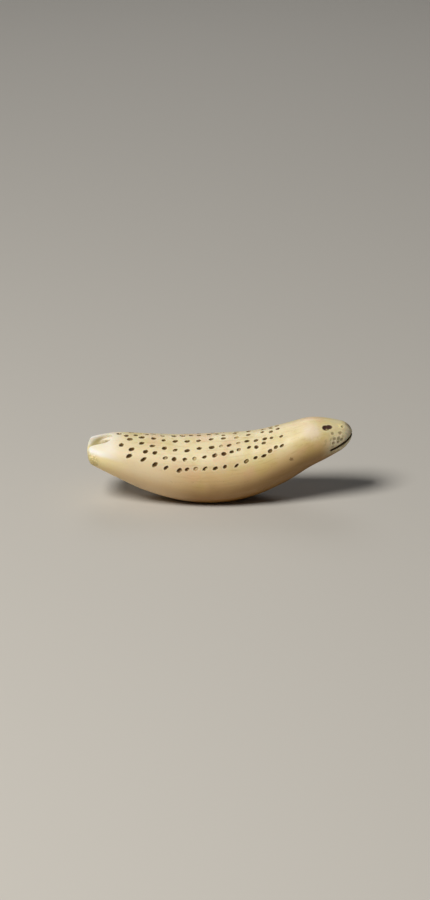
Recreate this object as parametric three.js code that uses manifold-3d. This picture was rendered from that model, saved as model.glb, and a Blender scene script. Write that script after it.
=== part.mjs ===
// A seal carved from one length of walrus tusk. It lies on its belly with its head raised: a plump
// body curved like a banana, a pair of hind flippers parted by a cleft with the stub of the tail in
// it, a blunt head with drilled eyes and nostrils and an incised mouth, and rows of drilled dots
// along the back. The belly is rubbed flat where the seal rests.
// Millimetres. +X points to the nose, +Y to the seal's left and +Z up. The origin is the middle of
// the seal's length and width, on the surface it rests on.
import * as THREE from "three";
import { mergeVertices } from "three/addons/utils/BufferGeometryUtils.js";
import Module from "manifold-3d";

const wasm = await Module();
wasm.setup();

// Overall size. The pose and proportions below are shares of it.
const LENGTH = 75;

// The body from the ends of the hind flippers (at 0) to the nose (at 1): the height of a section's
// middle above the lowest point of the round belly, half the section's depth and half its width.
const BODY = [
  { at: 0.0, middle: 0.205, halfDepth: 0.039, halfWidth: 0.08 }, // ends of the hind flippers
  { at: 0.044, middle: 0.198, halfDepth: 0.059, halfWidth: 0.092 }, // hind flippers
  { at: 0.112, middle: 0.185, halfDepth: 0.083, halfWidth: 0.103 }, // root of the tail
  { at: 0.225, middle: 0.156, halfDepth: 0.108, halfWidth: 0.119 }, // hips
  { at: 0.36, middle: 0.134, halfDepth: 0.126, halfWidth: 0.131 }, // loins
  { at: 0.5, middle: 0.133, halfDepth: 0.133, halfWidth: 0.135 }, // belly
  { at: 0.633, middle: 0.153, halfDepth: 0.124, halfWidth: 0.127 }, // chest
  { at: 0.747, middle: 0.194, halfDepth: 0.112, halfWidth: 0.111 }, // shoulders
  { at: 0.837, middle: 0.237, halfDepth: 0.096, halfWidth: 0.093 }, // crown of the head
  { at: 0.905, middle: 0.254, halfDepth: 0.076, halfWidth: 0.078 }, // eyes
  { at: 0.956, middle: 0.265, halfDepth: 0.057, halfWidth: 0.06 }, // muzzle
  { at: 1.0, middle: 0.275, halfDepth: 0.046, halfWidth: 0.049 }, // nose
];

// How far the two ends are rounded off along the body.
const FLIPPER_END_ROUNDING = 1.2;
const NOSE_ROUNDING = 3.6;

// Depth of belly that is rubbed away where the seal rests.
const BELLY_WEAR = 0.75;

// Cleft between the hind flippers: a scoop cut in the top, round in front, and a slit right
// through. Cut by hand, it is a little off the middle, to the seal's right.
const CLEFT_OFF_MIDDLE = 1.4;
const CLEFT_WIDTH = 4.7;
const CLEFT_DEPTH = 3.4;
const CLEFT_LENGTH = 7.2;
const CLEFT_FRONT_ROUNDING = 3.0;
const SLIT_WIDTH = 1.2;
const SLIT_LENGTH = 3.0;

// Stub of the tail, a rounded tongue left standing in the cleft.
const TAIL_STUB_WIDTH = 2.6;
const TAIL_STUB_HEIGHT = 1.9;
const TAIL_STUB_LENGTH = 4.6;

// Drilled dots, in a row along the spine and four rows down each side. A row starts and ends at
// these shares of the length, at its number of steps from the spine.
const DOT_DIAMETER = 1.35;
const DOT_DEPTH = 0.4;
const DOT_ROWS = [
  { steps: 0, start: 0.118, end: 0.69, dots: 15 },
  { steps: 1, start: 0.159, end: 0.717, dots: 14 },
  { steps: 2, start: 0.126, end: 0.73, dots: 16 },
  { steps: 3, start: 0.165, end: 0.7, dots: 15 },
  { steps: 4, start: 0.156, end: 0.733, dots: 17 },
];
const ROW_STEP_DEG = 17;
const ROWS_CLOSE_UP_AT = 0.38; // from here forward the rows draw together
const ROWS_CLOSED_UP_AT = 0.73;
const ROWS_CLOSE_UP_BY = 0.27; // share of their spread that they lose on the way
const HAND_DRIFT = 0.18; // how far a dot strays along its row, as a share of the spacing
const HAND_DRIFT_DEG = 2.2; // how far it strays across the row

// Eyes and nostrils, each at a share of the length and an angle from the spine.
const EYE_AT = 0.901;
const EYE_FROM_SPINE_DEG = 38;
const EYE_LENGTH = 2.8;
const EYE_HEIGHT = 1.5;
const EYE_DEPTH = 0.4;
const NOSTRIL_AT = 0.957;
const NOSTRIL_FROM_SPINE_DEG = 31;
const NOSTRIL_DIAMETER = 0.8;
const NOSTRIL_DEPTH = 0.35;

// Mouth, a line that runs level across the muzzle and falls towards its corners.
const MOUTH_LENGTH = 6.2; // from the nose back to the corners, along the body
const MOUTH_DROP_DEG = 27;
const MOUTH_BELOW_NOSE = 0.15;
const MOUTH_LINE_WIDTH = 0.6;
const MOUTH_LINE_DEPTH = 0.5;

// Fineness of the meshes.
const SECTIONS = 42;
const POINTS_IN_SECTION = 36;
const DRILL_SIDES = 5;
const CUTTER_SIDES = 20;

const radians = THREE.MathUtils.degToRad;

// A value of BODY between its stations: a cubic whose slope at a station follows its neighbours.
function bodyValue(key, at) {
  const last = BODY.length - 1;
  const ahead = BODY.findIndex((station) => station.at > at);
  const first = (ahead < 0 ? last : ahead) - 1;
  const slope = (i) => {
    const behind = BODY[Math.max(0, i - 1)];
    const before = BODY[Math.min(last, i + 1)];
    return (before[key] - behind[key]) / (before.at - behind.at);
  };
  const gap = BODY[first + 1].at - BODY[first].at;
  const u = (at - BODY[first].at) / gap;
  const rise = u * u * (3 - 2 * u);
  const bend = slope(first) * u * (1 - u) ** 2 - slope(first + 1) * u * u * (1 - u);
  return BODY[first][key] * (1 - rise) + BODY[first + 1][key] * rise + gap * bend;
}

// A quarter round at an end of the body: 0 at the end and 1 from the rounding's length inwards.
function roundedOff(distance, rounding) {
  const left = 1 - Math.min(1, Math.max(0, distance / rounding));
  return Math.sqrt(1 - left * left);
}

// A point of the skin, at a share of the length and an angle from the spine, positive to the
// seal's left. An inset gives the same body shaved down all over by that much.
function skin(at, fromSpineDeg, inset = 0) {
  const ends =
    roundedOff(at * LENGTH, FLIPPER_END_ROUNDING) *
    roundedOff((1 - at) * LENGTH, NOSE_ROUNDING);
  const angle = radians(fromSpineDeg);
  return new THREE.Vector3(
    (at - 0.5) * (LENGTH - 2 * inset),
    ends * (bodyValue("halfWidth", at) * LENGTH - inset) * Math.sin(angle),
    bodyValue("middle", at) * LENGTH -
      BELLY_WEAR +
      ends * (bodyValue("halfDepth", at) * LENGTH - inset) * Math.cos(angle),
  );
}

// The skin's own axes at a point: forward along the body, across it, and outwards.
function skinFrame(at, fromSpineDeg) {
  const step = 0.002;
  const degrees = 1;
  const forward = skin(at + step, fromSpineDeg)
    .sub(skin(at - step, fromSpineDeg))
    .normalize();
  const across = skin(at, fromSpineDeg - degrees)
    .sub(skin(at, fromSpineDeg + degrees))
    .normalize();
  const outward = forward.clone().cross(across).normalize();
  across.crossVectors(outward, forward);
  return new THREE.Matrix4()
    .makeBasis(forward, across, outward)
    .setPosition(skin(at, fromSpineDeg));
}

// A closed geometry as a solid that can be joined and cut.
function solid(geometry) {
  const bare = new THREE.BufferGeometry();
  bare.setAttribute("position", geometry.getAttribute("position"));
  bare.setIndex(geometry.index);
  const merged = mergeVertices(bare);
  return new wasm.Manifold(
    new wasm.Mesh({
      numProp: 3,
      vertProperties: merged.getAttribute("position").array,
      triVerts: Uint32Array.from(merged.index.array),
    }),
  );
}

// A solid as a geometry for a mesh.
function geometryOf(made) {
  const { vertProperties, triVerts } = made.getMesh();
  const geometry = new THREE.BufferGeometry();
  geometry.setAttribute("position", new THREE.BufferAttribute(vertProperties, 3));
  geometry.setIndex(new THREE.BufferAttribute(triVerts, 1));
  geometry.computeVertexNormals();
  return geometry;
}

// The whole body before any carving: rings of skin, close together at the rounded ends, between a
// point at the flippers and a point at the nose.
function roundBody(inset = 0) {
  const positions = [skin(0, 0, inset)];
  for (let ring = 1; ring < SECTIONS; ring++) {
    const at = (1 - Math.cos((Math.PI * ring) / SECTIONS)) / 2;
    for (let i = 0; i < POINTS_IN_SECTION; i++)
      positions.push(skin(at, (360 * i) / POINTS_IN_SECTION, inset));
  }
  positions.push(skin(1, 0, inset));
  const last = positions.length - 1;
  const index = [];
  const point = (ring, i) =>
    1 + (ring - 1) * POINTS_IN_SECTION + (i % POINTS_IN_SECTION);
  for (let i = 0; i < POINTS_IN_SECTION; i++) {
    index.push(0, point(1, i), point(1, i + 1));
    for (let ring = 1; ring < SECTIONS - 1; ring++) {
      index.push(point(ring, i), point(ring + 1, i + 1), point(ring, i + 1));
      index.push(point(ring, i), point(ring + 1, i), point(ring + 1, i + 1));
    }
    index.push(last, point(SECTIONS - 1, i + 1), point(SECTIONS - 1, i));
  }
  const geometry = new THREE.BufferGeometry().setFromPoints(positions);
  geometry.setIndex(index);
  return solid(geometry);
}

// A ball with these half sizes, its poles to the front and rear. Its rear half is moved back by a
// length, so that walls run from one half to the other.
function drawnOutBall(halfLength, halfWidth, halfDepth, length) {
  const ball = new THREE.SphereGeometry(1, CUTTER_SIDES, CUTTER_SIDES);
  ball.rotateZ(Math.PI / 2);
  const points = ball.getAttribute("position");
  const rear = -1e-6;
  for (let i = 0; i < points.count; i++)
    if (points.getX(i) < rear) points.setX(i, points.getX(i) - length / halfLength);
  return ball.scale(halfLength, halfWidth, halfDepth);
}

// What is carved away between the hind flippers: the scoop, less the stub of the tail that is left
// standing in it, and the slit. Scoop and stub fall to the rear as the back does.
function flipperCleft() {
  const front = skin(CLEFT_LENGTH / LENGTH, 0);
  const rearTop = skin(FLIPPER_END_ROUNDING / LENGTH, 0);
  const fall = Math.atan2(front.z - rearTop.z, front.x - rearTop.x);
  const scoop = drawnOutBall(CLEFT_FRONT_ROUNDING, CLEFT_WIDTH / 2, CLEFT_DEPTH, CLEFT_LENGTH);
  scoop.translate(-CLEFT_FRONT_ROUNDING, 0, 0);
  scoop.rotateY(-fall);
  scoop.translate(front.x, -CLEFT_OFF_MIDDLE, front.z);
  const stub = drawnOutBall(TAIL_STUB_LENGTH, TAIL_STUB_WIDTH / 2, TAIL_STUB_HEIGHT, 0);
  stub.rotateY(-fall);
  stub.translate(front.x, -CLEFT_OFF_MIDDLE, front.z - TAIL_STUB_HEIGHT);
  const slitFront = SLIT_LENGTH - LENGTH / 2;
  const slitHalfWidth = (SLIT_WIDTH / 2 / SLIT_LENGTH) * (LENGTH + slitFront);
  const plan = new THREE.Shape([
    new THREE.Vector2(-LENGTH, -CLEFT_OFF_MIDDLE - slitHalfWidth),
    new THREE.Vector2(slitFront, -CLEFT_OFF_MIDDLE),
    new THREE.Vector2(-LENGTH, -CLEFT_OFF_MIDDLE + slitHalfWidth),
  ]);
  const slit = new THREE.ExtrudeGeometry(plan, { depth: LENGTH, bevelEnabled: false });
  return solid(scoop).subtract(solid(stub)).add(solid(slit));
}

// The pit that a pointed drill leaves, at a place on the skin.
function drilledPit(diameter, depth, at, fromSpineDeg) {
  const cone = new THREE.ConeGeometry(diameter, 2 * depth, DRILL_SIDES);
  cone.rotateX(-Math.PI / 2);
  cone.applyMatrix4(skinFrame(at, fromSpineDeg));
  return solid(cone);
}

// An irregular number from -1 to 1 for dot i of a row, the same at every run. Its three steps are
// irrational, so that no rhythm shows along a row or between rows.
function stray(steps, i, salt) {
  const turns = 100 * Math.sin(steps * Math.PI + i * Math.E + salt * Math.SQRT2);
  return 2 * (turns - Math.floor(turns)) - 1;
}

// One row of dots, on the side given. Each is set a little off its place, as by eye.
function dotRow({ steps, start, end, dots }, side) {
  const pits = [];
  const spacing = (end - start) / (dots - 1);
  for (let i = 0; i < dots; i++) {
    const at = start + spacing * (i + HAND_DRIFT * stray(side * steps, i, 1));
    const closed = THREE.MathUtils.smoothstep(at, ROWS_CLOSE_UP_AT, ROWS_CLOSED_UP_AT);
    const fromSpine =
      side * steps * ROW_STEP_DEG * (1 - ROWS_CLOSE_UP_BY * closed) +
      HAND_DRIFT_DEG * stray(side * steps, i, 2);
    pits.push(drilledPit(DOT_DIAMETER, DOT_DEPTH, at, fromSpine));
  }
  return pits;
}

// An eye socket, almond-shaped, on the side given.
function eyeSocket(side) {
  const almond = new THREE.SphereGeometry(1, CUTTER_SIDES / 2, CUTTER_SIDES / 2);
  almond.scale(EYE_LENGTH / 2, EYE_HEIGHT / 2, EYE_DEPTH);
  almond.applyMatrix4(skinFrame(EYE_AT, side * EYE_FROM_SPINE_DEG));
  return solid(almond);
}

// The mouth: a sloping slice, cut to an even depth round the muzzle.
function mouthLine() {
  const past = LENGTH / 10;
  const slope = radians(MOUTH_DROP_DEG);
  const slice = new THREE.BoxGeometry(MOUTH_LENGTH + past, LENGTH, MOUTH_LINE_WIDTH);
  slice.translate((past - MOUTH_LENGTH) / 2, 0, 0);
  slice.scale(1 / Math.cos(slope), 1, 1);
  slice.rotateY(-slope);
  const nose = skin(1, 0);
  slice.translate(nose.x, 0, nose.z - MOUTH_BELOW_NOSE);
  return solid(slice).subtract(roundBody(MOUTH_LINE_DEPTH));
}

// Everything under the resting surface.
function underTheGround() {
  const box = new THREE.BoxGeometry(2 * LENGTH, 2 * LENGTH, LENGTH);
  box.translate(0, 0, -LENGTH / 2);
  return solid(box);
}

function carvedSeal() {
  const cuts = [underTheGround(), flipperCleft(), mouthLine()];
  const [spineRow, ...sideRows] = DOT_ROWS;
  cuts.push(...dotRow(spineRow, 1));
  for (const side of [-1, 1]) {
    for (const row of sideRows) cuts.push(...dotRow(row, side));
    cuts.push(eyeSocket(side));
    cuts.push(
      drilledPit(NOSTRIL_DIAMETER, NOSTRIL_DEPTH, NOSTRIL_AT, side * NOSTRIL_FROM_SPINE_DEG),
    );
  }
  return roundBody().subtract(wasm.Manifold.union(cuts));
}

const ivory = new THREE.MeshStandardMaterial({
  color: 0xdcc493,
  roughness: 0.38,
  metalness: 0,
});
const seal = new THREE.Mesh(geometryOf(carvedSeal()), ivory);
seal.name = "carved_seal";

const part = new THREE.Group();
part.add(seal);

export default part;
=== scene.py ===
"""A small seal carved from walrus tusk, lying on its belly with its head raised.

It is one solid piece. The round body is drawn out ring by ring and its belly rubbed flat. The
cleft between the hind flippers, the mouth, the eyes, the nostrils, the whiskers and the drilled
dots are then cut out of it, and every cut keeps what is left of the dark stain rubbed into it.

Sizes are in millimetres until they reach a mesh. +X points to the nose, +Y to the seal's left.
"""

import logging
import math
import random
from collections.abc import Iterator
from contextlib import contextmanager
from dataclasses import dataclass, field
from enum import Enum

import bpy
from mathutils import Euler, Matrix, Vector
from mathutils.kdtree import KDTree

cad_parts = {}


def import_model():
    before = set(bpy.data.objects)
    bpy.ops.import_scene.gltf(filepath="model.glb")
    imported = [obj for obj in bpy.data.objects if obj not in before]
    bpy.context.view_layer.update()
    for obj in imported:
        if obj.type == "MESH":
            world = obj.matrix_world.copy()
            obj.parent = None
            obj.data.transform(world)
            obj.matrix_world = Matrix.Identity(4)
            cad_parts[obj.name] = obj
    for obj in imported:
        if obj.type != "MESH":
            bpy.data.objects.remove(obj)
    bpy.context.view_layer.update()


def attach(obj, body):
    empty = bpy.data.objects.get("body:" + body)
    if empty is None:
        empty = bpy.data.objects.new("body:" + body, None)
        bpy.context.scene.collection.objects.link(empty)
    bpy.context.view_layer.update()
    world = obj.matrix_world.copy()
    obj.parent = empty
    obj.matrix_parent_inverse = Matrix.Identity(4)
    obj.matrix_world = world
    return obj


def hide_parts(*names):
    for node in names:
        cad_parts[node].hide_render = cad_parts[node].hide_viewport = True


log = logging.getLogger("carved_seal")

MM = 0.001  # in metres, which meshes are in
Pixel = tuple[float, float]
Sizes = tuple[float, float, float]


class Side(Enum):
    """A side of the seal, by the sign of its Y."""

    RIGHT = -1
    LEFT = 1


class Stain(Enum):
    """What a cut has kept of its stain: how dark it is, and where a bare spot lies in it.

    The bare spot's middle is counted forward and up from the cut's middle, and its radius with
    it, all in radii of the cut. A radius under 0 leaves no bare spot.
    """

    WHOLE = (1.0, 0.0, 0.0, -1.0)
    SPOTTED = (1.0, -0.1, -0.45, 0.15)
    # The eye's light spot: partly worn stain, partly a painted glint.
    DULLED = (1.0, 0.4, -0.45, 0.2)
    # Bare low and forward: partly chipped stain, partly painted light on the pit's lit lower wall.
    CHIPPED = (1.0, 0.35, -0.7, 0.6)
    HALF_GONE = (0.95, 0.75, -0.2, 0.7)
    REAR_GONE = (0.95, -0.75, 0.05, 0.65)
    HOLLOW = (0.85, 0.15, 0.15, 0.6)
    THIN = (0.64, 0.0, 0.0, -1.0)
    FAINT = (0.36, 0.1, 0.0, 0.35)


class Kind(Enum):
    """What a stained cut is, by the number noted on the faces in and round it."""

    DOT = 0.0
    EYE = 1.0
    FACE = 2.0  # a nostril or a whisker


class Note(Enum):
    """What is noted on the mesh for the ivory to read, by the attribute's name."""

    TUSK_PLACE = "tusk_place"
    CUT_DEPTH = "cut_depth"
    MARK_PLACE = "mark_place"
    MARK_BARE = "mark_bare"
    MARK_STAIN = "mark_stain"


@dataclass(frozen=True)
class Shot:
    """The camera, and the frame that pixels of the photograph are counted in.

    It looks at the seal's right side from above, and its aim is what the frame's middle shows.
    """

    elevation_deg: float = 22.0
    distance: float = 750.0
    aim: Sizes = (-1.335, 0.897, 14.22)
    focal_pixels: float = 2640.0
    frame: tuple[int, int] = (430, 900)
    sensor: float = 36.0
    nearest: float = 10.0
    farthest: float = 20_000.0

    def turn(self) -> Matrix:
        """The camera's own axes, as the columns of a rotation."""
        return Euler((math.radians(90 - self.elevation_deg), 0, 0)).to_matrix()

    def eye(self) -> Vector:
        """Where the camera stands, in metres."""
        back = self.turn() @ Vector((0, 0, self.distance))
        return (Vector(self.aim) + back) * MM

    def ray(self, pixel: Pixel) -> Vector:
        """The direction in which the camera sees a pixel.

        Args:
            pixel: Column and row, from the frame's upper left corner.

        Returns:
            A unit vector.
        """
        right = pixel[0] - self.frame[0] / 2
        up = self.frame[1] / 2 - pixel[1]
        return (self.turn() @ Vector((right, up, -self.focal_pixels))).normalized()

    def add_camera(self) -> None:
        """Adds the camera and makes it the scene's own."""
        camera = bpy.data.cameras.new("photograph")
        camera.sensor_width = self.sensor
        camera.lens = self.focal_pixels * self.sensor / max(self.frame)
        camera.clip_start, camera.clip_end = self.nearest * MM, self.farthest * MM
        seen = bpy.data.objects.new("photograph", camera)
        seen.matrix_world = Matrix.Translation(self.eye()) @ self.turn().to_4x4()
        bpy.context.scene.collection.objects.link(seen)
        bpy.context.scene.camera = seen


@dataclass(frozen=True)
class Station:
    """A section of the body in shares of its length: its place, middle and half sizes."""

    at: float
    middle: float
    half_depth: float
    half_width: float


@dataclass(frozen=True)
class Section:
    """A section of the body in millimetres: its place, its middle's height and its half sizes."""

    x: float
    z: float
    half_width: float
    half_depth: float


@dataclass
class Mark:
    """A stained cut in the skin: its middle in metres, its own axes, its half sizes, its stain."""

    middle: Vector
    forward: Vector
    up: Vector
    out: Vector
    half_length: float
    half_height: float
    depth: float
    kind: Kind
    stain: Stain

    def matrix(self) -> Matrix:
        """Gives what takes a ball of radius 1 to the cut's place, size and lie.

        Returns:
            The transform, in metres.
        """
        axes = (
            self.forward * self.half_length * MM,
            self.up * self.half_height * MM,
            self.out * self.depth * MM,
        )
        turned = Matrix(axes).transposed().to_4x4()
        return Matrix.Translation(self.middle) @ turned

    def radii_to(self, point: Vector) -> tuple[float, float]:
        """How far forward and up a point lies from the middle.

        Args:
            point: The point, in metres.

        Returns:
            Both distances, in radii of the cut.
        """
        away = point - self.middle
        return (
            away.dot(self.forward) / (self.half_length * MM),
            away.dot(self.up) / (self.half_height * MM),
        )


def linear(srgb: str) -> tuple[float, float, float, float]:
    """Turns an sRGB colour to the linear values that Blender works with.

    Args:
        srgb: The colour in hex, such as "#dcc493".

    Returns:
        Red, green, blue and a full alpha.
    """
    parts = [int(srgb[i : i + 2], 16) / 255 for i in (1, 3, 5)]
    r, g, b = (c / 12.92 if c <= 0.04045 else ((c + 0.055) / 1.055) ** 2.4 for c in parts)
    return (r, g, b, 1.0)


def select_nothing() -> None:
    """Deselects every object, because an operator works on all that is selected."""
    bpy.ops.object.select_all(action="DESELECT")


def select_only(piece: bpy.types.Object) -> None:
    """Selects one object and makes it active.

    Args:
        piece: The object.
    """
    select_nothing()
    piece.select_set(True)
    bpy.context.view_layer.objects.active = piece


@contextmanager
def all_in_edit_mode() -> Iterator[None]:
    """Opens the active piece in edit mode with all of it selected, and closes it after.

    Returns:
        Nothing to work with: the operators act on the selection.
    """
    bpy.ops.object.mode_set(mode="EDIT")
    bpy.ops.mesh.select_all(action="SELECT")
    yield
    bpy.ops.object.mode_set(mode="OBJECT")


def primitive_added(name: str) -> bpy.types.Object:
    """Names the primitive just added, and puts its place, turn and size in its mesh.

    Args:
        name: Its new name, and its mesh's.

    Returns:
        The primitive.
    """
    piece = bpy.context.active_object
    piece.name = piece.data.name = name
    bpy.ops.object.transform_apply(location=True, rotation=True, scale=True)
    return piece


def apply_modifier(piece: bpy.types.Object, kind: str, **settings: object) -> None:
    """Adds a modifier to a piece, sets it and applies it.

    Args:
        piece: The piece to change.
        kind: The modifier's type.
        settings: Its properties by name.
    """
    select_only(piece)
    modifier = piece.modifiers.new(kind.lower(), kind)
    for name, value in settings.items():
        setattr(modifier, name, value)
    bpy.ops.object.modifier_apply(modifier=modifier.name)


def carve(piece: bpy.types.Object, tool: bpy.types.Object) -> None:
    """Cuts a tool's shape out of a piece and removes the tool.

    Args:
        piece: The piece, a closed mesh.
        tool: What is taken out of it, another closed mesh.
    """
    apply_modifier(piece, "BOOLEAN", operation="DIFFERENCE", solver="MANIFOLD", object=tool)
    bpy.data.objects.remove(tool)


@dataclass
class RoundBody:
    """The seal's round body before any cut: plump, curved like a banana, its belly rubbed flat.

    The length drives the rest, and the stations' values are shares of it.
    """

    length: float = 75.0
    rear_rounding: float = 1.2
    nose_rounding: float = 3.6
    belly_wear: float = 0.75
    ring_spacing: float = 1.45
    ring_points: int = 56
    end_turns_deg: tuple[float, ...] = (6, 16, 28, 40, 52, 64, 77, 90)
    smoothing_levels: int = 2
    unevenness: float = 0.16
    unevenness_width: float = 11.0
    unevenness_detail: int = 1
    spot_insets: tuple[float, ...] = (0.5, 1.2)
    plane_reach: float = 1e-4  # how near the plane a vertex counts as on it
    stations: tuple[Station, ...] = (
        Station(0.0, 0.205, 0.039, 0.08),  # ends of the hind flippers
        Station(0.044, 0.198, 0.059, 0.092),  # hind flippers
        Station(0.112, 0.185, 0.083, 0.103),  # root of the tail
        Station(0.225, 0.156, 0.108, 0.119),  # hips
        Station(0.36, 0.134, 0.126, 0.131),  # loins
        Station(0.5, 0.133, 0.133, 0.135),  # belly
        Station(0.633, 0.153, 0.124, 0.127),  # chest
        Station(0.747, 0.194, 0.112, 0.111),  # shoulders
        Station(0.837, 0.237, 0.096, 0.093),  # crown of the head
        Station(0.905, 0.254, 0.076, 0.078),  # eyes
        Station(0.956, 0.265, 0.057, 0.06),  # muzzle
        Station(1.0, 0.275, 0.046, 0.049),  # nose
    )

    def value(self, key: str, at: float) -> float:
        """A station's value between the stations, on a smooth curve through them.

        Args:
            key: The name of the value.
            at: The share of the length.

        Returns:
            The value, as a share of the length.
        """
        last = len(self.stations) - 1
        first = max(i for i, s in enumerate(self.stations[:-1]) if s.at <= max(at, 0.0))

        def slope(i: int) -> float:
            """The curve's slope at a station, from the stations beside it."""
            rear, front = self.stations[max(0, i - 1)], self.stations[min(last, i + 1)]
            return (getattr(front, key) - getattr(rear, key)) / (front.at - rear.at)

        here, ahead = self.stations[first], self.stations[first + 1]
        gap = ahead.at - here.at
        u = (at - here.at) / gap
        rise = u * u * (3 - 2 * u)
        bend = slope(first) * u * (1 - u) ** 2 - slope(first + 1) * u * u * (1 - u)
        return getattr(here, key) * (1 - rise) + getattr(ahead, key) * rise + gap * bend

    def section(self, at: float, inset: float = 0.0) -> Section:
        """The body's section at a share of its length.

        Args:
            at: The share of the length, 0 at the hind flippers and 1 at the nose.
            inset: How much the body is shaved down all over.

        Returns:
            The section, in millimetres.
        """
        ends = 1.0
        for gone, rounding in (
            (at * self.length, self.rear_rounding),
            ((1 - at) * self.length, self.nose_rounding),
        ):
            left = 1 - min(1.0, max(0.0, gone / rounding))
            ends *= math.sqrt(1 - left * left)
        return Section(
            (at - 0.5) * (self.length - 2 * inset),
            self.value("middle", at) * self.length - self.belly_wear,
            ends * (self.value("half_width", at) * self.length - inset),
            ends * (self.value("half_depth", at) * self.length - inset),
        )

    def ring_places(self) -> list[float]:
        """The places of the rings, evenly along the trunk and closer round the ends.

        Returns:
            Shares of the length, from the rear.
        """
        turns = [math.radians(degrees) for degrees in self.end_turns_deg]
        rear = [self.rear_rounding * (1 - math.cos(t)) for t in turns]
        nose = [self.length - self.nose_rounding * (1 - math.cos(t)) for t in turns[::-1]]
        steps = round((nose[0] - rear[-1]) / self.ring_spacing)
        trunk = [rear[-1] + (nose[0] - rear[-1]) * i / steps for i in range(1, steps)]
        return [place / self.length for place in rear + trunk + nose]

    def drawn_out(self, name: str, inset: float = 0.0) -> bpy.types.Object:
        """Draws the body out ring by ring, from the hind flippers to the nose.

        Args:
            name: The new object's name.
            inset: How much the body is shaved down all over.

        Returns:
            A closed mesh, still coarse.
        """
        first, *others = [self.section(at, inset) for at in self.ring_places()]
        select_nothing()
        bpy.ops.mesh.primitive_circle_add(
            vertices=self.ring_points,
            radius=MM,
            fill_type="TRIFAN",
            rotation=(0, math.pi / 2, 0),
        )
        piece = primitive_added(name)
        with all_in_edit_mode():
            bpy.ops.transform.resize(
                value=(1, first.half_width, first.half_depth), center_override=(0, 0, 0)
            )
            bpy.ops.transform.translate(value=(first.x * MM, 0, first.z * MM))
            before = first
            for ring in others:
                step = ((ring.x - before.x) * MM, 0, (ring.z - before.z) * MM)
                bpy.ops.mesh.extrude_region_move(TRANSFORM_OT_translate={"value": step})
                bpy.ops.transform.resize(
                    value=(
                        1,
                        ring.half_width / before.half_width,
                        ring.half_depth / before.half_depth,
                    ),
                    center_override=(ring.x * MM, 0, ring.z * MM),
                )
                before = ring
            bpy.ops.mesh.select_all(action="SELECT")
            bpy.ops.mesh.normals_make_consistent(inside=False)
        return piece

    def build(self, name: str) -> bpy.types.Object:
        """Builds the whole body: smoothed, a little uneven as by hand, and rubbed flat below.

        Args:
            name: The new object's name.

        Returns:
            The body, closed and fine.
        """
        piece = self.drawn_out(name)
        levels = self.smoothing_levels
        apply_modifier(piece, "SUBSURF", levels=levels, render_levels=levels)
        waves = bpy.data.textures.new("hand_carving", "CLOUDS")
        waves.noise_scale = self.unevenness_width * MM
        waves.noise_depth = self.unevenness_detail
        apply_modifier(
            piece,
            "DISPLACE",
            texture=waves,
            texture_coords="LOCAL",
            strength=self.unevenness * MM,
            mid_level=0.5,
        )
        bpy.data.textures.remove(waves)
        self.rub_belly_flat(piece)
        return piece

    def rub_belly_flat(self, piece: bpy.types.Object) -> None:
        """Takes away what is under the resting surface, and closes the body there.

        Args:
            piece: The body, which is the active object.
        """
        with all_in_edit_mode():
            bpy.ops.mesh.bisect(
                plane_co=(0, 0, 0),
                plane_no=(0, 0, 1),
                use_fill=True,
                clear_inner=True,
                threshold=self.plane_reach * MM,
            )
            for inset in self.spot_insets:
                bpy.ops.mesh.inset(thickness=inset * MM, use_even_offset=False)
        log.info("%s rests on a spot at z = 0", piece.name)


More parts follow.
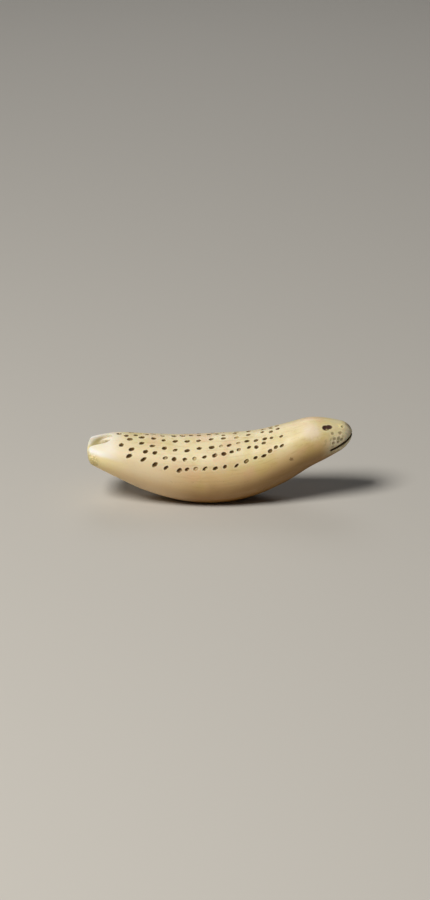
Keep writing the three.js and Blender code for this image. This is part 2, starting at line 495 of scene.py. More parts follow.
@dataclass
class FlipperCleft:
    """The cleft between the hind flippers: a scoop from the top, and a slit right through.

    The stub of the tail is left standing in the scoop. Cut by hand, it is a little off the middle.
    """

    body: RoundBody
    off_middle: float = -1.4
    width: float = 4.7
    depth: float = 3.4
    length: float = 7.2
    front_rounding: float = 3.0
    slit_width: float = 1.2
    slit_length: float = 3.0
    stub_width: float = 2.6
    stub_height: float = 1.9
    stub_length: float = 4.6
    ball_segments: int = 48
    ball_rings: int = 32
    drawn_from: float = -0.1

    def slope(self) -> tuple[Vector, float]:
        """Where the cleft starts on the back, and how steeply the back falls to the rear.

        Returns:
            The point, in millimetres, and the angle.
        """
        root = self.body.section(self.length / self.body.length)
        rear = self.body.section(self.body.rear_rounding / self.body.length)
        top = Vector((root.x, self.off_middle, root.z + root.half_depth))
        fall = math.atan2(top.z - rear.z - rear.half_depth, root.x - rear.x)
        return top, fall

    def ball(self, name: str, half_sizes: Sizes) -> bpy.types.Object:
        """Makes a stretched ball about the origin, its poles to the front and rear.

        Args:
            name: The new object's name.
            half_sizes: Half its length, width and height.

        Returns:
            The ball.
        """
        select_nothing()
        bpy.ops.mesh.primitive_uv_sphere_add(
            segments=self.ball_segments,
            ring_count=self.ball_rings,
            radius=MM,
            rotation=(0, math.pi / 2, 0),
        )
        piece = primitive_added(name)
        with all_in_edit_mode():
            bpy.ops.transform.resize(value=half_sizes, center_override=(0, 0, 0))
        return piece

    def scoop(self) -> bpy.types.Object:
        """Makes the hollow between the flippers, a ball drawn out to the rear along the back.

        Returns:
            The hollow, to be cut out.
        """
        top, fall = self.slope()
        piece = self.ball("scoop", (self.front_rounding, self.width / 2, self.depth))
        behind = [v.index for v in piece.data.vertices if v.co.x < self.drawn_from * MM]
        bpy.ops.object.mode_set(mode="EDIT")
        bpy.ops.mesh.select_mode(type="VERT")
        bpy.ops.mesh.select_all(action="DESELECT")
        bpy.ops.object.mode_set(mode="OBJECT")
        for i in behind:
            piece.data.vertices[i].select = True
        bpy.ops.object.mode_set(mode="EDIT")
        bpy.ops.transform.translate(value=(-self.length * MM, 0, 0))
        bpy.ops.object.mode_set(mode="OBJECT")
        piece.data.transform(
            Matrix.Translation(top * MM)
            @ Matrix.Rotation(-fall, 4, "Y")
            @ Matrix.Translation((-self.front_rounding * MM, 0, 0))
        )
        return piece

    def stub(self) -> bpy.types.Object:
        """Makes the stub of the tail, a rounded tongue that narrows and falls to the rear.

        Returns:
            The stub, to be kept out of the hollow.
        """
        top, fall = self.slope()
        piece = self.ball("stub", (self.stub_length, self.stub_width / 2, self.stub_height))
        piece.data.transform(
            Matrix.Translation((top - Vector((0, 0, self.stub_height))) * MM)
            @ Matrix.Rotation(-fall, 4, "Y")
        )
        return piece

    def slit(self) -> bpy.types.Object:
        """Makes the slit that parts the flippers' ends, a wedge that narrows forwards.

        Returns:
            The wedge, to be cut out. It reaches as far behind the seal as into it.
        """
        reach = 2 * self.slit_length
        past_back = 3 * self.body.length
        front = self.slit_length - self.body.length / 2
        select_nothing()
        bpy.ops.mesh.primitive_cylinder_add(
            vertices=3,
            radius=MM,
            depth=past_back * MM,
            rotation=(0, 0, -math.pi / 2),
        )
        piece = primitive_added("slit")
        # The triangle it stands on is 1.5 of its radius long and the root of 3 wide.
        with all_in_edit_mode():
            bpy.ops.transform.resize(
                value=(reach / 1.5, self.slit_width / math.sqrt(3), 1),
                center_override=(0, 0, 0),
            )
        foremost = max(v.co.x for v in piece.data.vertices)
        piece.data.transform(
            Matrix.Translation((front * MM - foremost, self.off_middle * MM, 0))
        )
        return piece

    def cut(self, piece: bpy.types.Object) -> None:
        """Cuts the cleft out of a piece, and leaves the stub standing in it.

        Args:
            piece: The piece to cut.
        """
        scoop = self.scoop()
        carve(scoop, self.stub())
        carve(piece, scoop)
        carve(piece, self.slit())


@dataclass
class Mouth:
    """The mouth: a line cut to an even depth round the muzzle.

    Seen from the side it is a low arc, which falls from the nose to the mouth's corners.
    """

    body: RoundBody
    length: float = 6.3
    drop_deg: float = 29.0
    above_nose: float = 0.1
    sag: float = 0.28
    line_width: float = 0.62
    line_depth: float = 0.36
    past_nose: float = 4.0
    bend_cuts: int = 15

    def chord(self) -> float:
        """The straight distance from the corners to the nose, seen from the side."""
        return self.length / math.cos(math.radians(self.drop_deg))

    def radius(self) -> float:
        """The arc's radius, from its chord and its sag."""
        return self.chord() ** 2 / (8 * self.sag) + self.sag / 2

    def turn(self) -> Matrix:
        """What turns the arc's chord from level to its drop."""
        return Matrix.Rotation(-math.radians(self.drop_deg), 3, "Y")

    def lowest(self) -> Vector:
        """The middle of the arc.

        Returns:
            The place, in millimetres.
        """
        nose = self.body.section(1.0)
        below = self.turn() @ Vector((-self.chord() / 2, 0, -self.sag))
        return Vector((nose.x, 0, nose.z + self.above_nose)) + below

    def centre(self) -> Vector:
        """The arc's centre, above the head, in millimetres."""
        return self.lowest() + self.turn() @ Vector((0, 0, self.radius()))

    def cut(self, piece: bpy.types.Object) -> None:
        """Cuts the line, as a bent slice that stops at an inner body.

        Args:
            piece: The piece to cut.
        """
        run = self.chord() + self.past_nose
        past_cheeks = 4 * self.chord()
        select_nothing()
        bpy.ops.mesh.primitive_cube_add(
            size=MM,
            location=(0, 0, self.past_nose / 2 * MM),
            scale=(self.line_width, past_cheeks, run),
        )
        bent = primitive_added("mouth")
        with all_in_edit_mode():
            bpy.ops.mesh.subdivide(number_cuts=self.bend_cuts)
        apply_modifier(
            bent,
            "SIMPLE_DEFORM",
            deform_method="BEND",
            deform_axis="Y",
            angle=-run / self.radius(),
        )
        bent.data.transform(
            Matrix.Translation(self.lowest() * MM)
            @ Matrix.Rotation(math.pi / 2 - math.radians(self.drop_deg), 4, "Y")
        )
        carve(bent, self.body.drawn_out("inner_body", self.line_depth))
        carve(piece, bent)


@dataclass
class DotRow:
    """A row of drilled dots, each by the photograph's pixel that its middle falls on.

    The pixels were read in an enlarged view, from the tail on. Each dot is a little
    longer along the body than wide, by the stretch, and its front end is tilted up.
    """

    name: str
    pixels: tuple[Pixel, ...]
    stains: dict[int, Stain] = field(default_factory=dict)
    tilt_deg: float = 20.0
    stretch: float = 1.16

    def stain(self, index: int) -> Stain:
        """What the dot of that number has kept of its stain."""
        return self.stains.get(index, Stain.WHOLE)


SPINE_ROW = DotRow(
    "spine",
    (
        (119.2, 433.8), (126.4, 435.7), (135.6, 435.2), (146.9, 434.4), (162.4, 435.9),
        (173.9, 436.1), (182.5, 435.9), (191.1, 435.5), (199.1, 435.5), (209.1, 434.6),
        (216.9, 434.0), (223.4, 435.3), (234.9, 433.6), (248.9, 431.1), (270.9, 428.3),
    ),
    {0: Stain.THIN, 11: Stain.THIN, 13: Stain.THIN, 14: Stain.THIN},
)

SIDE_ROWS = (
    DotRow(
        "first",
        (
            (129.9, 439.2), (141.7, 437.4), (153.6, 438.4), (163.6, 440.3), (175.2, 441.3),
            (187.3, 441.3), (198.6, 440.7), (211.2, 439.2), (223.4, 438.4), (236.5, 437.6),
            (248.3, 434.8), (262.3, 432.1), (270.9, 431.7), (277.6, 428.8),
        ),
        {
            0: Stain.THIN,
            7: Stain.THIN,
            8: Stain.THIN,
            9: Stain.FAINT,
            10: Stain.THIN,
            11: Stain.THIN,
            12: Stain.THIN,
        },
    ),
    DotRow(
        "second",
        (
            (121.3, 444.9), (141.7, 443.2), (152.5, 445.9), (164.5, 448.2), (175.2, 450.1),
            (187.1, 450.7), (199.3, 448.4), (211.6, 447.4), (221.1, 446.1), (229.4, 445.3),
            (238.4, 443.0), (247.0, 441.1), (256.0, 440.5), (264.8, 438.8), (271.5, 437.8),
            (281.2, 436.3),
        ),
        {
            2: Stain.THIN,
            4: Stain.REAR_GONE,
            8: Stain.FAINT,
            9: Stain.HALF_GONE,
            10: Stain.FAINT,
            12: Stain.THIN,
            14: Stain.THIN,
            15: Stain.THIN,
        },
    ),
    DotRow(
        "third",
        (
            (131.6, 449.3), (145.6, 451.6), (154.8, 452.9), (165.1, 457.9), (174.1, 459.1),
            (184.8, 459.5), (194.4, 458.7), (204.5, 457.0), (214.8, 455.4), (223.8, 453.9),
            (231.7, 451.8), (238.7, 449.7), (248.9, 447.4), (256.4, 447.0), (263.8, 443.0),
        ),
        {
            3: Stain.HOLLOW,
            5: Stain.CHIPPED,
            6: Stain.FAINT,
            7: Stain.SPOTTED,
            8: Stain.HALF_GONE,
            11: Stain.HOLLOW,
            14: Stain.THIN,
        },
    ),
    DotRow(
        "fourth",
        (
            (129.1, 456.0), (143.3, 459.5), (154.8, 464.6), (166.0, 467.7), (179.4, 470.5),
            (187.1, 469.4), (195.7, 468.8), (205.1, 468.6), (215.4, 468.4), (225.0, 466.7),
            (236.6, 465.6), (246.4, 461.2), (255.6, 457.7), (264.0, 455.8), (270.1, 451.0),
            (275.9, 447.2), (281.8, 445.7),
        ),
        {
            4: Stain.CHIPPED,
            5: Stain.CHIPPED,
            6: Stain.FAINT,
            7: Stain.CHIPPED,
            11: Stain.HOLLOW,
            14: Stain.THIN,
            15: Stain.THIN,
            16: Stain.THIN,
        },
        tilt_deg=32.0,
        stretch=1.26,
    ),
)


@dataclass
class SurfaceCuts:
    """Every small cut in the skin: the dots, the eyes, the nostrils and the whiskers.

    What the photograph shows is set where a ray of the camera meets the skin. The far side has
    the same, its dots a little off their places, as by hand.
    """

    shot: Shot
    dot_diameter: float = 1.3
    dot_depth: float = 0.42
    dot_unevenness: float = 0.12
    dot_shrink: float = 0.2
    dot_turn_deg: float = 12.0
    far_drift: float = 0.35
    eye_pixel: Pixel = (325.7, 427.9)
    eye_length: float = 2.0
    eye_height: float = 1.65
    eye_depth: float = 0.4
    eye_corner_pixel: Pixel = (328.9, 427.0)
    eye_corner_length: float = 1.9
    eye_corner_height: float = 1.35
    eye_tilt_deg: float = 6.0
    nostril_pixel: Pixel = (342.4, 426.6)
    nostril_diameter: float = 0.95
    nostril_depth: float = 0.3
    whisker_pixels: tuple[Pixel, ...] = (
        (332.6, 433.4), (334.6, 439.2), (338.9, 438.3), (341.9, 439.5), (333.7, 443.2),
        (338.3, 442.3),
    )
    whisker_diameter: float = 1.1
    whisker_depth: float = 0.12
    long_whisker_pixel: Pixel = (340.2, 432.9)
    long_whisker_length: float = 1.3
    long_whisker_tilt_deg: float = 8.0
    tip_segments: int = 18
    tip_rings: int = 9
    seed: int = 7
    marks: list[Mark] = field(default_factory=list)

    def mark_at(
        self,
        skin: bpy.types.Object,
        point: Vector,
        size: Sizes,
        kind: Kind,
        stain: Stain,
        tilt_deg: float,
    ) -> Mark:
        """A cut at the place of the skin that is nearest to a point.

        Args:
            skin: The body.
            point: The point, in metres.
            size: The cut's half length, half height and depth.
            kind: What it is.
            stain: What it has kept of its stain.
            tilt_deg: How far its front end is turned up.

        Returns:
            The cut, lying along the body.
        """
        _, middle, out, _ = skin.closest_point_on_mesh(point)
        forward = (Vector((1, 0, 0)) - out * out.x).normalized()
        up = out.cross(forward)
        if up.z < 0:
            up.negate()
        tilt = math.radians(tilt_deg)
        forward, up = (
            forward * math.cos(tilt) + up * math.sin(tilt),
            up * math.cos(tilt) - forward * math.sin(tilt),
        )
        return Mark(middle, forward, up, out, *size, kind, stain)

    def seen_at(self, skin: bpy.types.Object, pixel: Pixel) -> Vector:
        """Where on the skin the camera sees a pixel.

        Args:
            skin: The body.
            pixel: The pixel.

        Returns:
            The place, in metres.
        """
        hit, point, _, _ = skin.ray_cast(self.shot.eye(), self.shot.ray(pixel))
        if not hit:
            raise ValueError(f"no skin is seen at pixel {pixel}")
        return point

    def mirrored(self, point: Vector, hand: random.Random) -> Vector:
        """The same place on the seal's left side, a little off, as by hand.

        Args:
            point: The place on its right side, in metres.
            hand: What lets the hand wander.

        Returns:
            The place, in metres.
        """
        drift = [hand.uniform(-self.far_drift, self.far_drift) * MM for _ in range(3)]
        return Vector((point.x, -point.y, point.z)) + Vector(drift)

    def add_dots(self, skin: bpy.types.Object, hand: random.Random) -> None:
        """Sets out the dots: the spine's row once, and the side rows on both sides.

        They get smaller to the front, and each is a little off in size and tilt.

        Args:
            skin: The body.
            hand: What lets the hand wander.
        """
        radius = self.dot_diameter / 2
        for row in (SPINE_ROW, *SIDE_ROWS):
            for side in Side if row is not SPINE_ROW else (Side.RIGHT,):
                for i, pixel in enumerate(row.pixels):
                    point = self.seen_at(skin, pixel)
                    stain = row.stain(i)
                    if side is Side.LEFT:
                        point = self.mirrored(point, hand)
                        stain = hand.choice((Stain.WHOLE, Stain.WHOLE, *Stain))
                    stretch = row.stretch * (1 + hand.uniform(-1, 1) * self.dot_unevenness)
                    tilt = row.tilt_deg + hand.uniform(-1, 1) * self.dot_turn_deg
                    wide = radius * (1 + hand.uniform(-1, 1) * self.dot_unevenness)
                    wide *= 1 - self.dot_shrink * i / len(row.pixels)
                    size = (wide * stretch, wide / stretch, self.dot_depth)
                    self.marks.append(self.mark_at(skin, point, size, Kind.DOT, stain, tilt))

    def add_face(self, skin: bpy.types.Object) -> None:
        """Sets out the eyes with their corners, the nostrils and the whiskers, on both sides.

        Args:
            skin: The body.
        """
        whisker = (self.whisker_diameter / 2, self.whisker_diameter / 2, self.whisker_depth)
        nostril = (self.nostril_diameter / 2, self.nostril_diameter / 2, self.nostril_depth)
        eye = (self.eye_length / 2, self.eye_height / 2, self.eye_depth)
        corner = (self.eye_corner_length / 2, self.eye_corner_height / 2, self.eye_depth / 2)
        long_whisker = (self.long_whisker_length / 2, *whisker[1:])
        cuts = [
            (self.eye_pixel, eye, Kind.EYE, Stain.DULLED, 0.0),
            (self.eye_corner_pixel, corner, Kind.EYE, Stain.WHOLE, self.eye_tilt_deg),
            (self.nostril_pixel, nostril, Kind.FACE, Stain.THIN, 0.0),
            (
                self.long_whisker_pixel,
                long_whisker,
                Kind.FACE,
                Stain.THIN,
                self.long_whisker_tilt_deg,
            ),
            *((pixel, whisker, Kind.FACE, Stain.THIN, 0.0) for pixel in self.whisker_pixels),
        ]
        for pixel, *cut in cuts:
            seen = self.seen_at(skin, pixel)
            far = Vector((seen.x, -seen.y, seen.z))
            self.marks.extend((self.mark_at(skin, seen, *cut), self.mark_at(skin, far, *cut)))

    def drill_tip(self) -> bpy.types.Object:
        """Makes the one tip that every cut is a copy of.

        Returns:
            A ball of radius 1, with few faces because it is repeated so often.
        """
        select_nothing()
        bpy.ops.mesh.primitive_uv_sphere_add(
            segments=self.tip_segments, ring_count=self.tip_rings, radius=1.0
        )
        return primitive_added("drill_tip")

    def cut(self, piece: bpy.types.Object) -> None:
        """Sets out every cut on the body as it stands, and makes them all.

        Args:
            piece: The body, not cut before.
        """
        self.add_dots(piece, random.Random(self.seed))
        self.add_face(piece)
        tip = self.drill_tip()
        copies = []
        for mark in self.marks:
            copy = tip.copy()
            copy.data = tip.data.copy()
            copy.data.transform(mark.matrix())
            bpy.context.scene.collection.objects.link(copy)
            copies.append(copy)
        bpy.data.objects.remove(tip)
        select_nothing()
        for copy in copies:
            copy.select_set(True)
        bpy.context.view_layer.objects.active = copies[0]
        bpy.ops.object.join()
        tools = bpy.context.active_object
        self.face_outwards(tools)
        carve(piece, tools)
        log.info("%d small cuts made", len(self.marks))

    @staticmethod
    def face_outwards(piece: bpy.types.Object) -> None:
        """Turns every face of a closed mesh outwards.

        Args:
            piece: The mesh.
        """
        select_only(piece)
        with all_in_edit_mode():
            bpy.ops.mesh.normals_make_consistent(inside=False)


def add_node(
    tree: bpy.types.NodeTree,
    kind: str,
    inputs: dict[int | str, object] | None = None,
    out: int | str = 0,
    **settings: object,
) -> bpy.types.NodeSocket:
    """Adds a node with its settings and links.

    Args:
        tree: The node tree to add to.
        kind: The node's type without its ShaderNode prefix.
        inputs: Values, or sockets to link from, by the input's name or number.
        out: The output to return.
        settings: The node's own properties.

    Returns:
        One of the node's outputs, or its first input where it has no output.
    """
    node = tree.nodes.new("ShaderNode" + kind)
    for name, value in settings.items():
        setattr(node, name, value)
    for key, value in (inputs or {}).items():
        if isinstance(value, bpy.types.NodeSocket):
            tree.links.new(value, node.inputs[key])
        else:
            node.inputs[key].default_value = value
    return node.outputs[out] if len(node.outputs) else node.inputs[0]


class By(Enum):
    """What a colour, the gloss or the relief can follow on the seal.

    Lengths are in millimetres, and those of the tusk as if it were straight. Noise runs from
    0 to 1. What tells of a stained cut is in radii of the nearest one.
    """

    ALONG = "to the front of the middle"
    ACROSS = "to the left of the middle"
    HEIGHT = "above the middle of the section"
    DEPTH = "below the skin"
    WAVY_ALONG = "along, with a wavy edge"
    WAVY_HEIGHT = "height, with a wavy edge"
    GRAIN = "noise drawn out along the tusk"
    CLOUDS = "broad noise"
    OTHER_CLOUDS = "broad noise elsewhere"
    PORES = "fine noise"
    OTHER_PORES = "fine noise elsewhere"
    ABOVE_REST = "above what the seal rests on"
    FROM_PLACE = "from the layer's own place"
    OFF_MOUTH = "from the mouth's arc"
    FROM_MIDDLE = "from the cut's middle"
    RAGGED = "from the cut's middle, with a ragged edge"
    FROM_BARE = "from the edge of the cut's bare spot, ragged too"
    DARK = "how dark the cut's stain is"
    KIND = "the number of the cut's kind"


Range = tuple[By, float, float]
Values = dict[By, bpy.types.NodeSocket]

# Kinds of cut are whole numbers, so a range about a half tells one from the next.
DOTS: Range = (By.KIND, 0.6, 0.4)
DOTS_AND_EYES: Range = (By.KIND, 1.6, 1.4)
EYES_AND_FACE: Range = (By.KIND, 0.4, 0.6)
FACE: Range = (By.KIND, 1.4, 1.6)


@dataclass(frozen=True)
class Layer:
    """A colour laid over those before it, as an sRGB hex value and the most that it covers.

    It shows where each of its ranges allows it: what it follows, where the colour starts to
    show, and where it shows fully. A layer that follows FROM_PLACE has a place of its own.
    """

    colour: str
    cover: float
    ranges: tuple[Range, ...]
    place: Sizes | None = None


@dataclass(frozen=True)
class WalrusIvory:
    """Walrus ivory, carved, scraped and rubbed smooth, then handled for a long time.

    The eye gets a creamy white that has yellowed, browner towards the belly and throat, partly
    patina and partly painted shade, fine grain along the tusk, a soft gloss, a little light in the
    body of it, and dark stain in the cuts. The ends that rub most have gone pale, and the
    flippers' tops carry a painted highlight too; the muzzle is grey and rough.

    Its real grain and pores are finer than a pixel, so both are drawn as wide as two.
    """

    back: str = "#f1e3ba"
    layers: tuple[Layer, ...] = (
        # The cream deepens down the sides, with yellow-green and rosy clouds in the dentine.
        Layer("#e2c795", 1.0, ((By.WAVY_HEIGHT, 7.0, 0.0),)),
        Layer("#d5c276", 0.52, ((By.CLOUDS, 0.48, 0.66), (By.HEIGHT, -7.0, -1.0))),
        Layer("#e6bf9a", 0.5, ((By.OTHER_CLOUDS, 0.5, 0.68), (By.HEIGHT, -5.0, 1.0))),
        # It is brown below, first under the chest and throat, partly patina and partly painted
        # shade, with a trace of amber above it.
        Layer("#8f6220", 1.0, ((By.WAVY_HEIGHT, 1.5, -8.5),)),
        Layer("#765209", 0.88, ((By.ALONG, -2.0, 19.0), (By.HEIGHT, 3.5, -5.5))),
        Layer("#c98f30", 0.2, ((By.HEIGHT, 5.0, 0.0), (By.HEIGHT, -9.0, -5.0))),
        # Hairlines of dark grain, and pores that have taken dirt.
        Layer("#b5945a", 0.24, ((By.GRAIN, 0.5, 0.3),)),
        Layer("#94753f", 0.3, ((By.PORES, 0.62, 0.76),)),
        # The rear has stayed lighter, and the flippers are pale above: partly rubbed pale, partly
        # a painted highlight on their tops.
        Layer("#f5e5c2", 0.62, ((By.ALONG, -5.0, -21.0), (By.HEIGHT, 8.0, 2.5))),
        Layer("#f9e8ae", 0.88, ((By.WAVY_ALONG, -24.0, -33.0), (By.HEIGHT, 2.2, 0.4))),
        # Partly rubbed pale, partly a painted highlight on the flippers' tops.
        Layer("#fbfaf5", 0.9, ((By.WAVY_ALONG, -26.0, -35.0), (By.HEIGHT, 0.7, 1.9))),
        Layer("#f6c074", 0.25, ((By.ALONG, -5.0, -18.0), (By.HEIGHT, 0.5, -3.5))),
        Layer(
            "#efe3c0",
            0.6,
            ((By.ALONG, -30.0, -34.0), (By.HEIGHT, 2.0, 3.0), (By.ACROSS, -1.5, -2.5)),
        ),
        Layer(
            "#a89648",
            0.5,
            ((By.FROM_PLACE, 3.6, 1.4), (By.PORES, 0.42, 0.54)),
            place=(-36.4, -5.9, 13.4),
        ),
        # The rubbed spot that the seal rests on.
        Layer("#cdb68a", 0.5, ((By.ABOVE_REST, 0.35, 0.05),)),
        # A pale temple; the muzzle's top pale grey, partly its own grey and partly painted light
        # where the snout turns from the light; the grey muzzle below it; the nose's front
        # lightened as painted light, with its brown tip; and a pale spot by the nostril, a painted
        # highlight on its rim.
        Layer("#f5e6d4", 0.62, ((By.FROM_PLACE, 3.8, 0.8),), place=(26.0, -4.5, 21.9)),
        # Partly the muzzle's own pale grey, partly painted light on the snout's top.
        Layer("#e8deba", 0.8, ((By.ALONG, 28.0, 33.0), (By.HEIGHT, -4.5, -2.0))),
        Layer("#cfbd6c", 0.3, ((By.ALONG, 27.0, 31.0), (By.HEIGHT, 0.5, 3.5))),
        Layer(
            "#968855",
            0.55,
            ((By.ALONG, 28.0, 31.0), (By.HEIGHT, 3.5, 1.0), (By.OTHER_PORES, 0.47, 0.6)),
        ),
        # Painted light on the front of the nose.
        Layer("#ece3c6", 0.6, ((By.ALONG, 34.5, 36.5), (By.HEIGHT, -2.0, 0.0))),
        Layer("#71502f", 0.7, ((By.FROM_PLACE, 1.9, 0.6),), place=(36.8, -0.4, 22.8)),
        # A painted highlight on the nostril's rim.
        Layer("#fbeeb0", 0.8, ((By.FROM_PLACE, 1.1, 0.4),), place=(34.1, -2.4, 22.8)),
        # A brown speck on the side of the neck.
        Layer("#7d5a2c", 0.7, ((By.FROM_PLACE, 0.75, 0.3),), place=(20.2, -8.0, 15.1)),
        # Dirt and painted shade in the cleft: darker deeper down, in the crease by the stub and at
        # the rear end.
        Layer("#cbbd84", 0.4, ((By.DEPTH, 0.05, 0.5), (By.ALONG, -28.5, -29.5))),
        Layer(
            "#9c8850",
            0.7,
            ((By.FROM_PLACE, 2.0, 0.6), (By.DEPTH, 0.1, 0.4)),
            place=(-32.3, -3.0, 18.5),
        ),
        Layer("#a19045", 0.75, ((By.DEPTH, 0.05, 0.75), (By.ALONG, -32.3, -34.6))),
        # Light rims round the cuts.
        Layer("#f4e8c4", 0.3, ((By.FROM_MIDDLE, 2.0, 1.25), (By.FROM_MIDDLE, 0.9, 1.15))),
        # The stain in the dots: worn thin at its edge and in bare spots, dark at its heart,
        # and rusty here and there. The first colour is in the eyes too.
        Layer("#8a7234", 0.5, ((By.RAGGED, 1.3, 0.9), (By.DARK, 0.0, 0.8), DOTS_AND_EYES)),
        Layer(
            "#6f5217",
            0.8,
            ((By.RAGGED, 1.2, 0.85), (By.FROM_BARE, -0.25, 0.1), (By.DARK, 0.0, 0.8), DOTS),
        ),
        Layer(
            "#5a3e02",
            1.0,
            ((By.RAGGED, 1.0, 0.6), (By.FROM_BARE, 0.0, 0.35), (By.DARK, 0.3, 1.0), DOTS),
        ),
        Layer(
            "#2b1b00",
            0.6,
            ((By.RAGGED, 0.7, 0.2), (By.FROM_BARE, 0.2, 0.6), (By.DARK, 0.85, 1.0), DOTS),
        ),
        Layer(
            "#552f0c",
            0.5,
            ((By.RAGGED, 1.0, 0.7), (By.OTHER_CLOUDS, 0.52, 0.6), (By.DARK, 0.3, 1.0), DOTS),
        ),
        # The stain in the eyes, and the thin stain in the nostrils and whiskers.
        Layer(
            "#43241c",
            1.0,
            (
                (By.FROM_MIDDLE, 1.15, 0.8),
                (By.FROM_BARE, -0.1, 0.2),
                EYES_AND_FACE,
                DOTS_AND_EYES,
            ),
        ),
        Layer(
            "#57451f",
            0.8,
            ((By.RAGGED, 1.2, 0.4), (By.FROM_BARE, -0.1, 0.2), (By.DARK, 0.0, 1.0), FACE),
        ),
    )
    line_stain: str = "#6b5424"
    line_cover: float = 0.93
    line_edge: tuple[float, float] = (0.68, 0.48)
    line_sway: float = 0.3
    line_end_fade: float = 0.3
    grain_width: float = 0.5
    grain_length: float = 13.0
    cloud_width: float = 9.0
    other_cloud_width: float = 6.3
    pore_width: float = 0.55
    other_pore_width: float = 0.88
    noise_detail: float = 3.0
    elsewhere: Sizes = (40.0, 15.0, 7.0)
    along_sway: float = 7.0
    height_sway: float = 5.0
    rag_width: float = 0.55
    rag_detail: float = 2.0
    rag_in_cuts: Sizes = (0.9, 0.9, 0.0)
    rag_of_places: Sizes = (1.6, 1.6, 1.6)
    roughness: float = 0.38
    roughness_sway: tuple[float, float] = (-0.05, 0.08)
    cloud_span: tuple[float, float] = (0.3, 0.7)
    rougher: tuple[tuple[Range, float], ...] = (
        ((By.FROM_MIDDLE, 1.1, 0.85), 1.0),
        ((By.ALONG, 29.0, 34.0), 0.5),
        ((By.ALONG, -24.0, -31.0), 0.6),
        ((By.DEPTH, 0.2, 0.8), 0.6),
    )
    pore_relief: float = 0.6
    relief_height: float = 0.05
    relief_strength: tuple[float, float] = (0.35, 1.0)
    rough_muzzle: tuple[float, float] = (29.0, 33.0)
    ior: float = 1.54
    glow: float = 0.25
    glow_spread: Sizes = (1.0, 0.6, 0.3)
    glow_depth: float = 1.4

    def on_tusk(self, tree: bpy.types.NodeTree, tusk: bpy.types.NodeSocket) -> Values:
        """Adds what follows the tusk as if it were straight: places, grain, clouds and pores.

        Args:
            tree: The material's node tree.
            tusk: The place along, across and above the tusk.

        Returns:
            The values.
        """
        split = add_node(tree, "SeparateXYZ", {0: tusk}).node
        found = dict(zip((By.ALONG, By.ACROSS, By.HEIGHT), split.outputs))
        found[By.DEPTH] = add_node(
            tree, "Attribute", out="Fac", attribute_name=Note.CUT_DEPTH.value
        )

        # Each noise is scaled by 1 over its real width.
        grain_scale = (1 / self.grain_length, 1 / self.grain_width, 1 / self.grain_width)
        stretched = add_node(tree, "Mapping", {"Vector": tusk, "Scale": grain_scale})
        shifted = add_node(tree, "Mapping", {"Vector": tusk, "Location": self.elsewhere})
        for value, vector, width in (
            (By.GRAIN, stretched, 1.0),
            (By.CLOUDS, tusk, self.cloud_width),
            (By.OTHER_CLOUDS, shifted, self.other_cloud_width),
            (By.PORES, tusk, self.pore_width),
            (By.OTHER_PORES, shifted, self.other_pore_width),
        ):
            settings = {"Vector": vector, "Scale": 1 / width, "Detail": self.noise_detail}
            found[value] = add_node(tree, "TexNoise", settings, "Fac")

        # The clouds, about 0.5 on the whole, push the even value to and fro.
        for value, even, sway in (
            (By.WAVY_HEIGHT, By.HEIGHT, self.height_sway),
            (By.WAVY_ALONG, By.ALONG, self.along_sway),
        ):
            lowered = add_node(tree, "Math", {0: found[even], 1: sway / 2}, operation="SUBTRACT")
            swayed = {0: found[By.CLOUDS], 1: sway, 2: lowered}
            found[value] = add_node(tree, "Math", swayed, operation="MULTIPLY_ADD")
        return found

    def in_cuts(self, tree: bpy.types.NodeTree, rag: bpy.types.NodeSocket) -> Values:
        """Adds what tells of the nearest stained cut.

        Args:
            tree: The material's node tree.
            rag: What frays an edge.

        Returns:
            The values.
        """
        mark, bare, stain = (
            add_node(tree, "Attribute", out="Vector", attribute_name=note.value)
            for note in (Note.MARK_PLACE, Note.MARK_BARE, Note.MARK_STAIN)
        )
        dark, kind, _ = add_node(tree, "SeparateXYZ", {0: stain}).node.outputs
        bare_x, bare_y, bare_radius = add_node(tree, "SeparateXYZ", {0: bare}).node.outputs
        bare_middle = add_node(tree, "CombineXYZ", {0: bare_x, 1: bare_y})
        frayed = add_node(
            tree,
            "VectorMath",
            {0: rag, 1: self.rag_in_cuts, 2: mark},
            operation="MULTIPLY_ADD",
        )
        from_bare_middle = add_node(
            tree, "VectorMath", {0: frayed, 1: bare_middle}, "Value", operation="DISTANCE"
        )
        return {
            By.DARK: dark,
            By.KIND: kind,
            By.FROM_MIDDLE: add_node(
                tree, "VectorMath", {0: mark}, "Value", operation="LENGTH"
            ),
            By.RAGGED: add_node(tree, "VectorMath", {0: frayed}, "Value", operation="LENGTH"),
            By.FROM_BARE: add_node(
                tree, "Math", {0: from_bare_middle, 1: bare_radius}, operation="SUBTRACT"
            ),
        }

    def off_mouth(
        self,
        tree: bpy.types.NodeTree,
        place: bpy.types.NodeSocket,
        pores: bpy.types.NodeSocket,
        mouth: Mouth,
    ) -> bpy.types.NodeSocket:
        """Adds the distance from the mouth's arc, seen from the side and a little uneven.

        Args:
            tree: The material's node tree.
            place: The place on the finished piece.
            pores: The noise that makes it uneven.
            mouth: The mouth.

        Returns:
            The distance.
        """
        from_side = add_node(
            tree, "VectorMath", {0: place, 1: (1.0, 0.0, 1.0)}, operation="MULTIPLY"
        )
        from_centre = add_node(
            tree, "VectorMath", {0: from_side, 1: mouth.centre()}, "Value", operation="DISTANCE"
        )
        past_arc = add_node(
            tree, "Math", {0: from_centre, 1: mouth.radius()}, operation="SUBTRACT"
        )
        off_arc = add_node(tree, "Math", {0: past_arc}, operation="ABSOLUTE")
        uneven = {0: pores, 1: self.line_sway, 2: off_arc}
        return add_node(tree, "Math", uneven, operation="MULTIPLY_ADD")

